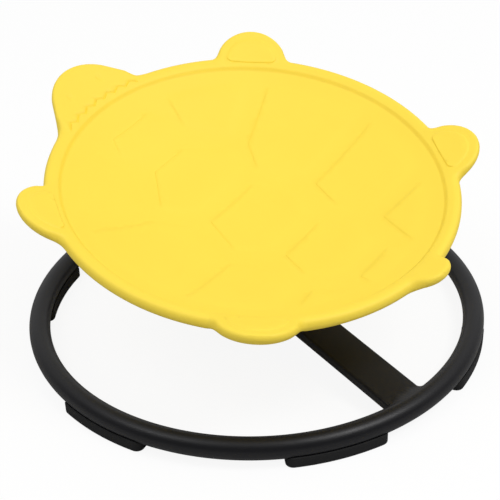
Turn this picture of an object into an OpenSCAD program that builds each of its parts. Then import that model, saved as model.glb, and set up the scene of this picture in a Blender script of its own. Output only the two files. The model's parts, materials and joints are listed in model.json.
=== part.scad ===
// Toddler spinning seat. A round tube stands on rubber pads and carries a raised crossbar. A short
// spindle leans out of the crossbar, and a dished seat shaped like a turtle turns on it on two ball
// bearings. X runs along the crossbar, Z is up, and the origin is on the floor under the ring's middle.

/* [Base ring] */
// Radius of the ring at the middle of its tube
ring_r = 210; // [200:1:260]
// Outer diameter of the ring's tube
tube_d = 20; // [17:0.5:24]
// Wall of the ring's tube
tube_wall = 1.5; // [1:0.1:2.2]

/* [Foot pads] */
// Length of a pad along the ring
pad_len = 91.5; // [75:0.5:110]
// Width of a pad
pad_w = 21; // [20:0.5:26]
// Radius of a pad's corners
pad_round = 7; // [4:0.5:9]
// Rubber between the floor and the tube
pad_sole = 5.5; // [5:0.5:10]
// Height of a pad's lips up the side of the tube
pad_lip = 5; // [2:0.5:8]
// Length between the two screws of a pad
pad_screw_gap = 50; // [30:1:60]

/* [Crossbar] */
// Width of the crossbar
bar_w = 38; // [34:1:50]
// Thickness of the crossbar
bar_t = 10; // [8:0.5:12]
// Height of its flat middle above the middle of the ring's tube
bar_rise = 25; // [18:0.1:32]
// Length of its flat middle
bar_flat = 127; // [88:1:140]
// Leg of the weld beads along the bar
weld_leg = 6; // [4:0.5:8]

/* [Spindle] */
// Lean of the spindle from upright, in degrees
lean = 11.27; // [6:0.01:14]
// Direction in which the seat leans down, from the crossbar, in degrees
lean_dir = -17.3; // [-30:0.1:30]
// Distance of the rim's middle from the ring's middle, along the crossbar
seat_along = 0.7; // [-5:0.1:5]
// Distance of the rim's middle from the ring's middle, across the crossbar
seat_across = 1.3; // [-5:0.1:5]
// Diameter of the plate between the crossbar and the boss
plate_d = 52; // [50:1:56]
// Thickness of that plate
plate_t = 5; // [4:0.5:6]
// Diameter of the boss that carries the spindle
boss_d = 32; // [30:0.5:36]
// Length of the boss along the spindle, from the plate to its top
boss_h = 17.2; // [16.5:0.1:24]
// Depth of the spindle in the boss
spindle_seat = 13; // [11:0.5:13.5]
// Diameter of the spindle's shoulder under the lower bearing
shoulder_d = 21; // [20:0.1:22]
// Height of the spindle's shoulder
shoulder_h = 3; // [2.5:0.1:5]
// Diameter of the thread at the spindle's upper end
thread_d = 14; // [12:0.5:14.5]
// Height of the lock nut
nut_h = 8; // [6:0.5:9]
// Width of the lock nut across its flats
nut_af = 22; // [19:0.5:24]
// Diameter of the washer under the lock nut
spindle_washer_d = 20; // [18:0.5:22]
// Thickness of the washer under the lock nut
spindle_washer_t = 2.5; // [1.5:0.1:3]
// Length of thread that stands out of the lock nut
thread_end = 2; // [1:0.1:3]

/* [Bearings] */
// Bore of a bearing, which is the spindle's diameter
bearing_bore = 15; // [14.6:0.1:16]
// Outer diameter of a bearing
bearing_od = 35; // [34:0.1:37]
// Width of a bearing
bearing_w = 11; // [10:0.1:13]
// Diameter of the balls
ball_d = 5.9; // [5:0.1:6.2]
// Number of balls in a bearing
ball_count = 8; // [6:1:9]
// Radial thickness of a bearing ring at its shoulders
bearing_ring_t = 2.85; // [2.4:0.05:3]
// Gap between a ball and its raceway
race_gap = 0.2; // [0.1:0.05:0.3]
// Distance between the two bearings
bearing_gap = 9; // [8:0.5:20]
// Radial thickness of a ball cage
cage_t = 1.8; // [1.4:0.1:2.2]
// Height of a ball cage
cage_h = 7.6; // [7.2:0.1:8]
// Thickness of a bearing shield
shield_t = 0.6; // [0.4:0.1:0.8]

/* [Hub] */
// Diameter of the hub's barrel
hub_d = 48; // [44:0.5:56]
// Diameter of the hub's flange
flange_d = 116; // [112:1:124]
// Thickness of the hub's flange
flange_t = 5; // [4:0.5:6]
// Bore of the land between the bearings
hub_land_d = 28; // [26:0.5:30]
// Gap between the flange and the lowest point of the dish
flange_gap = 8; // [6:0.5:10]
// Thickness of the dust seal in the hub's lower end
seal_t = 1.4; // [1:0.1:2.5]

/* [Seat bolts] */
// Number of bolts between the hub and the seat
bolt_count = 4; // [3:1:6]
// Distance of a bolt's middle from the edge of the hub's flange
bolt_edge = 13; // [10:0.5:16]
// Thread diameter of a bolt
bolt_d = 6; // [5:0.5:6]
// Diameter of a bolt's head
bolt_head_d = 10.5; // [9:0.5:11]
// Height of a bolt's head
bolt_head_h = 3.3; // [2.5:0.1:4]
// Diameter of the washer under a bolt's head
bolt_washer_d = 12; // [11:0.5:13]
// Thickness of the washer under a bolt's head
bolt_washer_t = 1.6; // [1:0.1:2]
// Diameter of a threaded insert
insert_d = 9; // [8.5:0.5:10]
// Length of a threaded insert
insert_len = 8; // [6:0.5:8]

/* [Seat] */
// Radius of the rim at the middle of its bead
rim_r = 183.6; // [170:0.1:200]
// Diameter of the rim's round bead
bead_d = 14.4; // [12:0.1:16]
// Depth of the dish below the rim
dish_depth = 38; // [30:0.5:50]
// Wall of the dish
shell_t = 5; // [3.5:0.1:6]
// Thickness of the head, feet and tail
lobe_t = 10.8; // [8:0.1:12]
// Slope of the head, feet and tail up from the rim, in degrees
lobe_slope = 26.5; // [20:0.5:35]
// Radius of a foot's outline
foot_r = 37; // [30:0.5:42]
// Reach of a foot beyond the middle of the bead
foot_reach = 33.6; // [25:0.1:40]
// Radius of the head's outline
head_r = 52; // [46:0.5:54]
// Reach of the head beyond the middle of the bead
head_reach = 41.5; // [35:0.5:48]
// Width of the neck where the head leaves the rim
neck_w = 117; // [112:1:130]
// Radius of the tail's outline
tail_r = 23.5; // [20:0.5:30]
// Reach of the tail beyond the middle of the bead
tail_reach = 23.3; // [18:0.1:30]
// Depth of the stiffening ribs under the middle of the dish, from where they fade out to the rim
rib_h = 12; // [8:0.5:14]
// Thickness of the stiffening ribs
rib_t = 3; // [2.5:0.1:4]
// Number of ribs that run out to the rim
rib_count = 12; // [8:1:16]
// Diameter of the bosses that hold the threaded inserts
insert_boss_d = 16; // [14:0.5:18]

/* [Hidden] */
$fn = 96;
// Overrun of every cut
over = 1;
// Radial clearance of a press or location fit
fit = 0.02;
// Clearance between a turning and a standing piece
run = 0.4;

// Where the head, feet and tail sit round the seat, in degrees from the low side of the lean
head_angle = 212.9;
foot_angles = [157.9, 266.5, 81.1, 337.8];
tail_angle = 28.3;
// Where the pads sit round the ring, in degrees from the crossbar
pad_angles = [27.8, 91.1, 154.4, 217.8, 280.4, 338.5];
pad_count = len(pad_angles);
// How far the bolts are turned from the ribs, in degrees
bolt_angle = 45;
// Share of the bead's radius at which the dish runs into the bead
dish_edge_share = 0.8;

tube_r = tube_d / 2;
floor_h = pad_sole + tube_r;
bar_top = floor_h + bar_rise;
bar_end_x = ring_r - tube_r;
dish_r = rim_r - bead_d / 2 * dish_edge_share;
dish_ball = (dish_r * dish_r + dish_depth * dish_depth) / (2 * dish_depth);

// Levels along the spindle, measured from the rim's plane
under_z = -dish_depth - shell_t;
// Clear height between the spindle's end and the dish
end_gap = 4;
spindle_top_z = under_z - end_gap;
nut_z = spindle_top_z - thread_end - nut_h;
washer_z = nut_z - spindle_washer_t;
upper_z = washer_z - bearing_w;
spacer_z = upper_z - bearing_gap;
lower_z = spacer_z - bearing_w;
boss_z = lower_z - shoulder_h;
foot_z = boss_z - boss_h;
flange_z = under_z - flange_gap;
hub_z = lower_z - seal_t;
rim_h = bar_top + plate_t - foot_z * cos(lean);

// Radius of the circle of the bolts
bolt_r = flange_d / 2 - bolt_edge;

// Bearing section
pitch_r = (bearing_bore + bearing_od) / 4;
race_r = ball_d / 2 + race_gap;
inner_shoulder_r = bearing_bore / 2 + bearing_ring_t;
outer_shoulder_r = bearing_od / 2 - bearing_ring_t;
pocket_r = ball_d / 2 + race_gap;
shield_inset = shield_t / 2;

// Foot screws
screw_d = 4;
screw_head_d = 8;
screw_head_h = 2.2;
screw_recess = 3.4;
screw_head_bore_d = 9;
screw_tip = 5;

// Share of its radius that a pad's corner circle grows, so that it crosses the pad's sides
pad_grow_share = 1.05;
// Share of its radius that a pad's corner reaches along the ring
pad_end_share = 0.9;
// Share of the wall that ribs and bosses run into the dish
root_share = 0.5;
// Share of the tube's radius that the crossbar's shaped ends run into the tube
bar_cope_share = 0.5;
// Share of its leg that a weld bead stands up at its toe
weld_toe_share = 0.3;
// How far up the tube the weld beads reach, in degrees
weld_top_angle = 60;
// Clearance between the hub's flange and the ring-shaped rib round it
flange_rib_gap = 8;
// Radius of the ring-shaped rib nearest the hub, and of the one half way to the rim
inner_rib_r = flange_d / 2 + flange_rib_gap;
outer_rib_r = (inner_rib_r + dish_r) / 2;
rib_depth = dish_depth + shell_t + rib_h;
rib_ball = (dish_r * dish_r + rib_depth * rib_depth) / (2 * rib_depth);

PADS = [for (i = [1 : pad_count]) str("foot_pad_", i)];

// Places its children on the leaning spindle, with the rim's plane at zero
module on_spindle()
    translate([seat_along, seat_across, rim_h])
        rotate([0, lean, lean_dir])
            children();

// Places a copy of its children round the axis for each step
module around(count, start = 0)
    for (i = [0 : count - 1])
        rotate([0, 0, start + i * 360 / count])
            children();

// A ring with a bore, standing on zero
module collar(outer_r, inner_r, height)
    difference() {
        cylinder(r = outer_r, h = height);
        translate([0, 0, -over])
            cylinder(r = inner_r, h = height + 2 * over);
    }

// The ring's tube as a solid torus, at a chosen tube radius
module ring_torus(radius)
    translate([0, 0, floor_h])
        rotate_extrude()
            translate([ring_r, 0])
                circle(r = radius);

// Places its children at both screws of every pad, on the floor under the tube
module at_pad_screws(first = 0, last = pad_count - 1)
    for (i = [first : last])
        for (side = [-1, 1])
            rotate([0, 0, pad_angles[i] + side * pad_screw_gap / ring_r * 90 / PI])
                translate([ring_r, 0, 0])
                    children();

module base_ring()
    color("#1c1c1e")
        difference() {
            ring_torus(tube_r);
            ring_torus(tube_r - tube_wall);
            at_pad_screws()
                cylinder(d = screw_d + 2 * fit, h = floor_h);
        }

// A wedge from the ring's middle that spans a length along the ring
module ring_wedge(length) {
    reach = ring_r + pad_w;
    half = reach * tan(length / ring_r * 90 / PI);
    polygon([[0, 0], [reach, -half], [reach, half]]);
}

// Plan of one pad: a stretch of a flat ring with round corners
module pad_plan() {
    straight = pad_len - 2 * pad_round * pad_end_share;
    intersection() {
        difference() {
            circle(r = ring_r + pad_w / 2);
            circle(r = ring_r - pad_w / 2);
        }
        ring_wedge(pad_len);
        union() {
            ring_wedge(straight);
            for (end = [-1, 1])
                rotate(end * straight / ring_r * 90 / PI)
                    for (side = [-1, 0, 1])
                        translate([ring_r + side * (pad_w / 2 - pad_round), 0])
                            circle(r = pad_round * pad_grow_share);
        }
    }
}

// One pad: a curved block, hollowed along the tube and bored for its screws
module foot_pad(index)
    color("#232325")
        difference() {
            rotate([0, 0, pad_angles[index]])
                linear_extrude(height = pad_sole + pad_lip)
                    pad_plan();
            ring_torus(tube_r + fit);
            at_pad_screws(index, index) {
                translate([0, 0, -over])
                    cylinder(d = screw_d + 2 * fit, h = pad_sole + tube_r);
                translate([0, 0, -over])
                    cylinder(d = screw_head_bore_d, h = screw_recess + over);
            }
        }

module foot_screws()
    color("silver")
        at_pad_screws() {
            translate([0, 0, screw_recess - screw_head_h])
                cylinder(d = screw_head_d, h = screw_head_h);
            translate([0, 0, screw_recess - screw_head_h / 2])
                cylinder(d = screw_d, h = pad_sole + tube_wall + screw_tip - screw_recess);
        }

// Side view of the crossbar, thickened all round by a clearance
module bar_profile(grow = 0) {
    half = bar_flat / 2;
    end_x = bar_end_x + tube_r * bar_cope_share;
    low = bar_t / 2 - (end_x - bar_end_x) * (bar_rise - bar_t / 2) / (bar_end_x - half);
    top = [[-end_x, low], [-half, bar_rise], [half, bar_rise], [end_x, low]];
    polygon(concat([for (p = top) p + [0, grow]], [for (i = [3 : -1 : 0]) top[i] - [0, bar_t + grow]]));
}

// The crossbar as one bent bar that runs part way into the tube at both ends
module bar_solid(grow = 0)
    translate([0, bar_w / 2, floor_h])
        rotate([90, 0, 0])
            linear_extrude(height = bar_w)
                bar_profile(grow);

module crossbar()
    color("#1c1c1e")
        difference() {
            bar_solid();
            ring_torus(tube_r + fit);
        }

// One weld bead: a three-cornered fillet along the tube, on the bar's top face
module weld_bead() {
    span = 2 * asin(bar_w / 2 / ring_r);
    rotate([0, 0, -span / 2])
        translate([0, 0, floor_h])
            rotate_extrude(angle = span)
                polygon([
                    [bar_end_x - weld_leg, 0],
                    [bar_end_x - weld_leg, bar_t / 2 + weld_leg * weld_toe_share],
                    [ring_r - tube_r * cos(weld_top_angle), tube_r * sin(weld_top_angle)],
                    [ring_r, tube_r * sin(weld_top_angle)],
                    [ring_r, 0]
                ]);
}

module bar_welds()
    color("#202022")
        difference() {
            for (side = [0, 180])
                rotate([0, 0, side])
                    weld_bead();
            bar_solid(fit);
            ring_torus(tube_r + fit);
        }

// The plate that spreads the boss over the crossbar's flat middle
module boss_plate()
    color("#1c1c1e")
        translate([
            seat_along + foot_z * sin(lean) * cos(lean_dir),
            seat_across + foot_z * sin(lean) * sin(lean_dir),
            bar_top
        ])
            cylinder(d = plate_d, h = plate_t);

// Everything below the top of the plate, as the spindle sees it
module below_plate()
    translate([0, 0, foot_z])
        rotate([0, -lean, 0])
            translate([-ring_r, -ring_r, -2 * ring_r])
                cube(2 * ring_r);

module spindle_boss()
    color("#1c1c1e")
        on_spindle()
            difference() {
                translate([0, 0, foot_z - boss_h])
                    cylinder(d = boss_d, h = 2 * boss_h);
                translate([0, 0, boss_z - spindle_seat])
                    cylinder(d = bearing_bore + 2 * fit, h = spindle_seat + over);
                below_plate();
            }

module boss_weld()
    color("#202022")
        on_spindle()
            difference() {
                translate([0, 0, foot_z - boss_h])
                    cylinder(r1 = boss_d / 2 + weld_leg + boss_h, r2 = boss_d / 2, h = boss_h + weld_leg);
                translate([0, 0, foot_z - 2 * boss_h])
                    cylinder(d = boss_d + 2 * fit, h = 4 * boss_h);
                below_plate();
            }

module spindle()
    color("gainsboro")
        on_spindle() {
            translate([0, 0, boss_z - spindle_seat])
                cylinder(d = bearing_bore, h = washer_z - boss_z + spindle_seat);
            translate([0, 0, boss_z])
                cylinder(d = shoulder_d, h = shoulder_h);
            translate([0, 0, washer_z])
                cylinder(d = thread_d, h = spindle_top_z - washer_z);
        }

module spindle_washer()
    color("silver")
        on_spindle()
            translate([0, 0, washer_z])
                collar(spindle_washer_d / 2, thread_d / 2 + fit, spindle_washer_t);

module lock_nut()
    color("silver")
        on_spindle()
            translate([0, 0, nut_z])
                difference() {
                    cylinder(d = nut_af / cos(30), h = nut_h, $fn = 6);
                    translate([0, 0, -over])
                        cylinder(d = thread_d + 2 * fit, h = nut_h + 2 * over);
                }

module bearing_spacer()
    color("gainsboro")
        on_spindle()
            translate([0, 0, spacer_z])
                collar(inner_shoulder_r, bearing_bore / 2 + fit, bearing_gap);

// The groove that the balls run in, as a torus round the bearing's middle
module raceway()
    translate([0, 0, bearing_w / 2])
        rotate_extrude()
            translate([pitch_r, 0])
                circle(r = race_r);

module bearing_inner(level)
    color("gainsboro")
        on_spindle()
            translate([0, 0, level])
                difference() {
                    collar(inner_shoulder_r, bearing_bore / 2 + fit, bearing_w);
                    raceway();
                }

module bearing_outer(level)
    color("gainsboro")
        on_spindle()
            translate([0, 0, level])
                difference() {
                    collar(bearing_od / 2 - fit, outer_shoulder_r, bearing_w);
                    raceway();
                }

module bearing_balls(level)
    color("white")
        on_spindle()
            translate([0, 0, level + bearing_w / 2])
                around(ball_count)
                    translate([pitch_r, 0, 0])
                        sphere(d = ball_d);

module bearing_cage(level)
    color("peru")
        on_spindle()
            translate([0, 0, level + bearing_w / 2])
                difference() {
                    translate([0, 0, -cage_h / 2])
                        collar(pitch_r + cage_t / 2, pitch_r - cage_t / 2, cage_h);
                    around(ball_count)
                        rotate([0, 90, 0])
                            cylinder(r = pocket_r, h = bearing_od / 2);
                }

module bearing_shields(level)
    color("dimgray")
        on_spindle()
            for (z = [level + shield_inset, level + bearing_w - shield_inset - shield_t])
                translate([0, 0, z])
                    collar(outer_shoulder_r - fit, inner_shoulder_r + run, shield_t);

module hub()
    color("#2a2a2c")
        on_spindle()
            difference() {
                union() {
                    translate([0, 0, hub_z])
                        cylinder(d = hub_d, h = flange_z - hub_z);
                    translate([0, 0, flange_z - flange_t])
                        cylinder(d = flange_d, h = flange_t);
                }
                translate([0, 0, hub_z - over])
                    cylinder(d = hub_land_d, h = flange_z - hub_z + 2 * over);
                translate([0, 0, hub_z - over])
                    cylinder(d = bearing_od, h = spacer_z - hub_z + over);
                translate([0, 0, upper_z])
                    cylinder(d = bearing_od, h = flange_z - upper_z + over);
                around(bolt_count, bolt_angle)
                    translate([bolt_r, 0, flange_z - flange_t - over])
                        cylinder(d = bolt_d + run, h = flange_t + 2 * over);
            }

module dust_seal()
    color("#303032")
        on_spindle()
            translate([0, 0, hub_z])
                collar(bearing_od / 2 - fit, shoulder_d / 2 + run, seal_t);

// Places its children at every seat bolt, at a level on the spindle
module at_bolts(level)
    on_spindle()
        around(bolt_count, bolt_angle)
            translate([bolt_r, 0, level])
                children();

module bolt_washers()
    color("silver")
        at_bolts(flange_z - flange_t - bolt_washer_t)
            collar(bolt_washer_d / 2, bolt_d / 2 + fit, bolt_washer_t);

module seat_bolts()
    color("silver")
        at_bolts(flange_z - flange_t - bolt_washer_t) {
            translate([0, 0, -bolt_head_h])
                cylinder(d = bolt_head_d, h = bolt_head_h);
            cylinder(d = bolt_d, h = bolt_washer_t + flange_t + insert_len - over);
        }

module threaded_inserts()
    color("goldenrod")
        at_bolts(flange_z)
            collar(insert_d / 2, bolt_d / 2 + fit, insert_len);

// The ball that the dish is hollowed by, grown by a chosen thickness
module dish_sphere(grow = 0)
    translate([0, 0, dish_ball - dish_depth])
        sphere(r = dish_ball + grow);

module dish()
    difference() {
        intersection() {
            dish_sphere(shell_t);
            translate([0, 0, -rib_depth])
                cylinder(r = rim_r, h = rib_depth);
        }
        dish_sphere();
    }

module rim_bead()
    rotate_extrude()
        translate([rim_r, 0])
            circle(d = bead_d);

// The sloping band round the rim that the head, feet and tail are cut from
module lobe_band() {
    reach = max(foot_reach, head_reach, tail_reach) + over;
    rise = reach * tan(lobe_slope);
    half = lobe_t / 2 / cos(lobe_slope);
    rotate_extrude()
        polygon([[rim_r, -half], [rim_r + reach, rise - half], [rim_r + reach, rise + half], [rim_r, half]]);
}

// Plan of a foot or the tail: a circle that reaches a set distance past the bead
module round_lobe(radius, reach)
    translate([rim_r + reach - radius, 0])
        circle(r = radius);

// Plan of the head: a circle with flanks that run in a straight line to the neck
module head_lobe() {
    middle = rim_r + head_reach - head_r;
    to_neck = [rim_r - middle, neck_w / 2];
    turn = atan2(to_neck[1], to_neck[0]) - acos(head_r / norm(to_neck));
    flank = [middle + head_r * cos(turn), head_r * sin(turn)];
    round_lobe(head_r, head_reach);
    polygon([[rim_r, neck_w / 2], flank, [flank[0], -flank[1]], [rim_r, -neck_w / 2]]);
}

module lobes() {
    height = head_reach + lobe_t + bead_d;
    intersection() {
        lobe_band();
        translate([0, 0, -height])
            linear_extrude(height = 2 * height) {
                rotate([0, 0, head_angle])
                    head_lobe();
                for (angle = foot_angles)
                    rotate([0, 0, angle])
                        round_lobe(foot_r, foot_reach);
                rotate([0, 0, tail_angle])
                    round_lobe(tail_r, tail_reach);
            }
    }
}

// The ball that the ribs' lower edges follow, which meets the dish's edge at the rim
module rib_sphere()
    translate([0, 0, rib_ball - rib_depth])
        sphere(r = rib_ball);

// Ribs that run out towards the rim, tied by two rings
module ribs()
    difference() {
        intersection() {
            rib_sphere();
            union() {
                around(rib_count)
                    translate([inner_rib_r, -rib_t / 2, -rib_depth])
                        cube([dish_r - inner_rib_r, rib_t, rib_depth]);
                for (r = [inner_rib_r, outer_rib_r])
                    translate([0, 0, -rib_depth])
                        collar(r + rib_t / 2, r - rib_t / 2, rib_depth);
            }
        }
        dish_sphere(shell_t * root_share);
    }

// Posts under the dish that the threaded inserts sit in
module insert_bosses()
    difference() {
        around(bolt_count, bolt_angle)
            translate([bolt_r, 0, flange_z])
                cylinder(d = insert_boss_d, h = -flange_z);
        dish_sphere(shell_t * root_share);
    }

module seat_shell()
    color("#fde353")
        on_spindle()
            difference() {
                union() {
                    dish();
                    rim_bead();
                    lobes();
                    ribs();
                    insert_bosses();
                }
                around(bolt_count, bolt_angle)
                    translate([bolt_r, 0, flange_z - over])
                        cylinder(d = insert_d + 2 * fit, h = insert_len + over);
            }

base_ring();
crossbar();
bar_welds();
for (i = [0 : pad_count - 1])
    foot_pad(i);
foot_screws();
boss_plate();
spindle_boss();
boss_weld();
spindle();
spindle_washer();
lock_nut();
bearing_spacer();
bearing_inner(upper_z);  // upper_bearing_inner
bearing_inner(lower_z);  // lower_bearing_inner
bearing_balls(upper_z);  // upper_bearing_balls
bearing_balls(lower_z);  // lower_bearing_balls
bearing_cage(upper_z);  // upper_bearing_cage
bearing_cage(lower_z);  // lower_bearing_cage
bearing_outer(upper_z);  // upper_bearing_outer
bearing_outer(lower_z);  // lower_bearing_outer
bearing_shields(upper_z);  // upper_bearing_shields
bearing_shields(lower_z);  // lower_bearing_shields
hub();
dust_seal();
seat_bolts();
bolt_washers();
threaded_inserts();
seat_shell();
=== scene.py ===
import json
import math

import bmesh
import bpy
import numpy as np
from mathutils import Matrix, Vector
from mathutils.geometry import delaunay_2d_cdt


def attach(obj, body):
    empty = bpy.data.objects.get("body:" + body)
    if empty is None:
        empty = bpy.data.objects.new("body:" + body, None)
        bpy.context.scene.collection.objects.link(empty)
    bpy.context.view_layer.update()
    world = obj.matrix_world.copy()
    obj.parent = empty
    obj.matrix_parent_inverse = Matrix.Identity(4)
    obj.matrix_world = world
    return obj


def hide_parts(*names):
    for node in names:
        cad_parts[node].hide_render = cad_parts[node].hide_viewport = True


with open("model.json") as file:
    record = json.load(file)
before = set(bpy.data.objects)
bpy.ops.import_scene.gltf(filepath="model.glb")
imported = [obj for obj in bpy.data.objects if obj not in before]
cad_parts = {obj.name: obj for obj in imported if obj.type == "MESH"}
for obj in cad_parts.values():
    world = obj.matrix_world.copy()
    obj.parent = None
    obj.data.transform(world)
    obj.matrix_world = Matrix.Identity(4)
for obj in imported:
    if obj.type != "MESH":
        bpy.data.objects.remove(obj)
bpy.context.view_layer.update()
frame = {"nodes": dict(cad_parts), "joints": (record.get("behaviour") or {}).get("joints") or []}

# Sizes are in millimetres and angles in degrees, in the part's own frame: X runs along the crossbar, Z points
# up, and the floor is at zero.
MM = 0.001

# Base ring
RING_R = 210.0
TUBE_R = 10.0
RING_H = 15.5
RING_STEPS = 288
TUBE_SIDES = 40

# Camera: its turn, height and roll, its place from the middle of the ring along its own axes, and its lens
VIEW_TURN = 50.8
VIEW_HEIGHT = 32.48
VIEW_ROLL = 1.892
VIEW_RIGHT = -5.81
VIEW_UP = 52.38
VIEW_BACK = 1183.0
LENS = 86.95
SENSOR_W = 36.0

# Crossbar, and the rows of points along it: from its end to its bend, and over the middle
BAR_W = 39.0
BAR_T = 10.0
BAR_RISE = 25.0
BAR_FLAT = 127.0
BAR_END = 205.0
BAR_ROUND = 2.5
BAR_CORNER_POINTS = 9
BAR_BEND = 9.0
BAR_SLOPE = (BAR_RISE - BAR_T / 2) / (RING_R - TUBE_R - BAR_FLAT / 2)
BAR_END_ROWS = (70.0, 24)
BAR_MIDDLE_ROWS = (66.0, 34)

# Weld fillets: their hollow on the bar's top face, its two sides and its underside, and how the first one ends
WELD_ABOVE = 24.0
WELD_BESIDE = (2.0, 5.0)
WELD_UNDER = 2.5
WELD_FADE = 15.0
# The fillet's toes go that far into bar and tube, and its hidden root is a smaller section inside the tube
WELD_TOE = 0.1
WELD_ROOT_DEPTH = 3.0
WELD_ROOT_SHARES = (0.8, 0.5)
WELD_STEP = 1.1
WELD_ROWS = 13
WELD_SEARCH_FROM = 150.0
WELD_RIPPLE = 0.14
WELD_PITCH = 3.4
BOSS_R = 16.0
BOSS_PLATE_T = 5.0
BOSS_WELD_R = 3.4
BOSS_WELD_STEPS = 150
BOSS_WELD_SIDES = 16

# Foot pads
PAD_ANGLES = (27.8, 91.1, 154.4, 217.8, 280.4, 338.5)
PAD_HALF_LEN = 45.75
PAD_HALF_W = 10.5
PAD_CORNER = 7.0
PAD_H = 10.5
PAD_ROUND = 1.05
# The pad's groove holds the tube below and stands off it at the lips, which start at a distance from its middle
PAD_SEAT_GAP = 0.05
PAD_LIP_GAP = 0.4
PAD_LIP_START = 6.0
PAD_LIP_W = 3.0
# Lines of the pad's mesh: search radius, points of its outline, depths of the round edge, and rows of the groove
PAD_REACH = 90.0
PAD_TURNS = 2400
PAD_STEP = 1.2
PAD_EDGE_DEPTHS = (0.08, 0.3, 0.65, PAD_ROUND)
PAD_GROOVE_ROWS = (0, 2, 4, 6, 7, 7.8, 8.7)
PAD_ROW_POINTS = 28
PAD_ROW_GAP = 0.3
PAD_SOLE_PLACES = (-44, 45, 4.0)
PAD_SOLE_ROWS = (-6.0, 0.0, 6.0)
PAD_SOLE_MARGIN = 3.0
PAD_SOLE_GAP = 1.5

# Screws of the pads and bolts of the seat: radius and height of the head, radius of the socket, radius and length
# of the shank
FOOT_SCREW = (4.0, 2.2, 2.1, 2.0, 8.6)
SEAT_BOLT = (5.25, 3.3, 2.4, 3.0, 13.6)
SCREW_SIDES = 36
SCREW_EDGE = 0.2
HEAD_ROUND_SHARE = 0.35
HEAD_ROWS = 5
SOCKET_TAPER = 0.97
SOCKET_FLOOR_SHARE = 0.35
WASHER_T = 1.6
PAD_SCREW_GAP = 50.0
SCREW_RECESS = 3.4
SCREW_BORE_R = 4.5
SCREW_BORE_WALL = 0.15
SCREW_BORE_POINTS = 32

# Seat: plan angles are measured from the low side of the lean
RIM_R = 183.6
BEAD_R = 7.2
BEAD_BLEND = 2.0
EDGE_R = RIM_R + BEAD_R
EDGE_W = 7.0
EDGE_BLEND = 1.0
DISH_DEPTH = 38.0
SHELL_T = 5.0
SHELL_SWELL = 0.4
# Crease between dish and rim, the step that it starts, and the crown over the rim
CREASE_R = 175.0
CREASE_Z = -0.3
STEP_H = 2.4
STEP_W = 3.4
STEP_LEAD = 0.5
CROWN_H = BEAD_R + 0.6
CROWN_BLEND = 3.0
# Head, feet and tail rise from the rim
LOBE_EDGE_W = 6.6
LOBE_T = 6.9
LOBE_START = 8.0
LOBE_SLOPE = 26.4
LOBE_BEND = 3.0
LOBE_FILLET = 6.0
LOBE_BLEND = 10.0
HEAD_ANGLE = 212.9
FOOT_ANGLES = (157.9, 266.5, 81.1, 337.8)
TAIL_ANGLE = 28.3
# A lobe is the hull of two circles on its own line: place and radius of the inner one, then of the outer one
HEAD = (120.0, 85.7, 173.1, 52.0)
FOOT = (150.0, 36.9, 180.3, 36.9)
TAIL = (150.0, 23.5, 183.4, 23.5)
# Angle, circles and half width of each lobe
LOBES = [(HEAD_ANGLE, HEAD, 56.0), *((a, FOOT, 38.0) for a in FOOT_ANGLES), (TAIL_ANGLE, TAIL, 23.0)]

# Ribs and bosses under the dish
RIB_COUNT = 12
RIB_HALF_T = 1.5
RIB_DRAFT = 0.4
RIB_DEPTH = 55.0
RIB_EDGE_R = 177.84
RIB_RINGS = (66.0, 121.92)
RIB_END_R = 171.0
RIB_POINTS = 28
BOLT_R = 45.0
BOLT_COUNT = 4
BOLT_TURN = 45.0
INSERT_BOSS_R = 8.0
INSERT_BOSS_POINTS = 40
FLANGE_Z = -51.0
FLANGE_T = 5.0

# The shell's plates, across the seat from its middle line and towards the head: the right halves of the five in
# the middle row, then the four on the right, whose outer sides fade out before the rim
MIDDLE_PLATES = (
    ((28, 148), (38, 128), (24, 111)),
    ((24, 98), (60, 61), (38, 32)),
    ((36, 20), (54, -25), (33, -50)),
    ((30, -62), (46, -96), (28, -125)),
    ((26, -138), (34, -170)),
)
SIDE_PLATES = (
    ((62, 165), (42, 111), (68, 68), (151, 102), (125, 148)),
    ((151, 81), (72, 54), (50, 25), (67, -18), (168, -25)),
    ((170, -38), (70, -30), (55, -68), (63, -100), (154, -113)),
    ((145, -127), (61, -112), (36, -162), (80, -190)),
)
# The plates' middle line: its offset and its slant. A plate's height, widths of its crisp and soft walls, rounding
# of its corners, and the radius and width of its fade
PLATE_LINE = (-4.2, 0.068)
PLATE_H = 0.9
PLATE_WALLS = (1.1, 10.0)
PLATE_CORNER = 0.6
PLATE_FADE = (162.0, 12.0)
# Walls that face this way, nearer than the limit, are crisp
CRISP_SIDE = (-0.5, 0.87)
CRISP_LIMIT = 0.35
PLATE_LEVELS = (0.0, 0.35, 0.7, 1.0)
PLATE_POINTS = 180
PLATE_REACH = 150.0

# Zigzag collar line behind the head
ZIGZAG_TEETH = 7
ZIGZAG_SPAN = 16.0
ZIGZAG_R = (182.4, 186.1)
ZIGZAG_STEP = 1.2
GROOVE_HALF_W = 1.5
COLLAR_DEPTH = 1.5

# Raised panels on the feet: an arc closed by a straight side
PANEL_H = 1.1
PANEL_WALLS = (0.5, 2.2)
PANEL_CORNER = 1.0
PANEL_R = 27.0
PANEL_CHORD = 181.0
PANEL_HALF = 22.0
PANEL_MIDDLE = 196.0
PANEL_LEVELS = (0.0, 0.3, 0.65, 1.0)
PANEL_POINTS = 96
PANEL_REACH = 60.0

# Eyes
EYE_AT = (21.5, 200.5)
EYE_R = 4.2
EYE_DEPTH = 0.9
EYE_LEVELS = (0.25, 0.5, 0.75, 1.0)
EYE_POINTS = 20

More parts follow.
